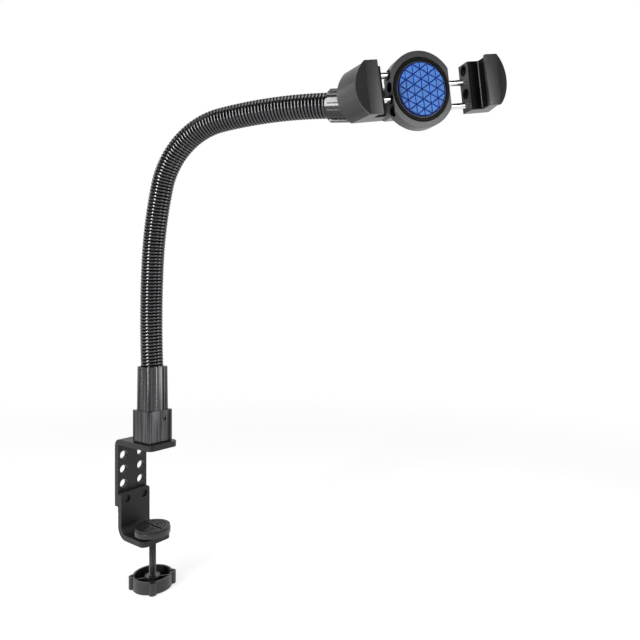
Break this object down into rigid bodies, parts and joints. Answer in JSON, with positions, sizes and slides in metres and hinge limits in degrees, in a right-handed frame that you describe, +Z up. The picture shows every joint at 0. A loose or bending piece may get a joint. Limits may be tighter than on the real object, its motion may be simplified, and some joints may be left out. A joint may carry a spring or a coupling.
{
  "type": "phone holder",
  "caption": "Clamp-on phone holder: steel table clamp, ridged gooseneck, lockable ball joint and a round body with sliding jaws and a blue grip pad",
  "frame": {"origin": "on the clamp screw's axis, at the underside of the upper flange, where it rests on a table top", "axes": "+Z up along the screw and the post; +X out of the clamp's throat, from the steel web towards its open side; +Y completes a right-handed set"},
  "size_m": [0.311, 0.1064, 0.4055],
  "materials": {
    "black_plate": "matte black powder coat on bent steel plate",
    "black_alloy": "satin black anodised alloy",
    "black_hose": "glossy black on wound steel",
    "black_screw": "black oxide",
    "bright_steel": "plain turned steel",
    "chrome_rod": "polished chrome",
    "joint_plastic": "satin black moulding",
    "shell_plastic": "satin dark grey moulding",
    "knob_plastic": "matte black moulding",
    "white_plastic": "plain low-friction plastic",
    "black_rubber": "matte black rubber",
    "blue_rubber": "blue soft rubber with raised triangles"
  },
  "bodies": {
    "clamp": {"upper_bracket": "black_plate", "lower_bracket": "black_plate", "thread_bush": "bright_steel", "socket": "black_alloy", "socket_gasket": "black_rubber", "socket_bolts": "black_screw", "set_screw": "black_screw"},
    "foot": {"foot_cup": "knob_plastic", "foot_pad": "black_rubber"},
    "screw": {"clamp_screw": "black_screw", "knob": "knob_plastic", "knob_insert": "bright_steel", "foot_clip": "bright_steel"},
    "post": {"post_sleeve": "black_alloy", "neck_ferrule": "bright_steel"},
    "neck": {"gooseneck": "black_hose"},
    "head": {"neck_head": "joint_plastic"},
    "nut": {"lock_nut": "joint_plastic"},
    "seat": {"ball_seat": "white_plastic"},
    "ball": {"ball_stud": "bright_steel", "stud_nut": "bright_steel"},
    "holder": {"mounting_block": "joint_plastic", "block_screws": "black_screw", "back_shell": "shell_plastic", "shell_screws": "black_screw", "front_shell": "shell_plastic", "rod_bushes": "joint_plastic", "pad_bezel": "joint_plastic", "grip_pad": "blue_rubber"},
    "left_arm": {"left_jaw": "shell_plastic", "left_liner": "black_rubber", "left_lip": "shell_plastic", "left_rods": "chrome_rod"},
    "right_arm": {"right_jaw": "shell_plastic", "right_liner": "black_rubber", "right_lip": "shell_plastic", "right_rods": "chrome_rod"}
  },
  "joints": [
    {"name": "foot_travel", "type": "slide", "parent": "clamp", "child": "foot", "axis": [0, 0, 1], "range_m": [-0.002, 0.027]},
    {"name": "screw_turn", "type": "hinge", "parent": "foot", "child": "screw", "pos_m": [0, 0, -0.08], "axis": [0, 0, 1], "range_deg": [-720, 9720]},
    {"name": "post_turn", "type": "hinge", "parent": "clamp", "child": "post", "pos_m": [0, 0, 0.0319], "axis": [0, 0, 1], "continuous": true},
    {"name": "lower_bend", "type": "hinge", "parent": "post", "child": "neck", "pos_m": [0, 0, 0.11], "axis": [-0.2756, 0.9613, 0], "range_deg": [-20, 20], "deforming": ["gooseneck"]},
    {"name": "upper_bend", "type": "hinge", "parent": "neck", "child": "head", "pos_m": [0.1136, 0.0326, 0.274], "axis": [-0.2756, 0.9613, 0], "range_deg": [-25, 25], "deforming": ["gooseneck"]},
    {"name": "nut_turn", "type": "hinge", "parent": "head", "child": "nut", "pos_m": [0.15391, 0.04413, 0.27129], "axis": [0.9551, 0.2739, -0.1132], "range_deg": [-20, 160]},
    {"name": "seat_turn", "type": "hinge", "parent": "head", "child": "seat", "pos_m": [0.20272, 0.05813, 0.26551], "axis": [0.9551, 0.2739, -0.1132], "continuous": true},
    {"name": "ball_tilt", "type": "hinge", "parent": "seat", "child": "ball", "pos_m": [0.20272, 0.05813, 0.26551], "axis": [-0.1116, -0.0215, -0.9935], "range_deg": [-107, 2]},
    {"name": "holder_roll", "type": "hinge", "parent": "ball", "child": "holder", "pos_m": [0.20272, 0.05813, 0.26551], "axis": [0.7984, -0.5973, -0.0767], "continuous": true},
    {"name": "left_slide", "type": "slide", "parent": "holder", "child": "left_arm", "axis": [-0.6004, -0.7799, -0.1766], "range_m": [-0.0067, 0.0125]},
    {"name": "right_slide", "type": "slide", "parent": "holder", "child": "right_arm", "axis": [0.6004, 0.7799, 0.1766], "range_m": [-0.014, 0.0052]}
  ],
  "couplings": [
    {"joint": "screw_turn", "follows": "foot_travel", "rad_per_m": 6283.2}
  ]
}
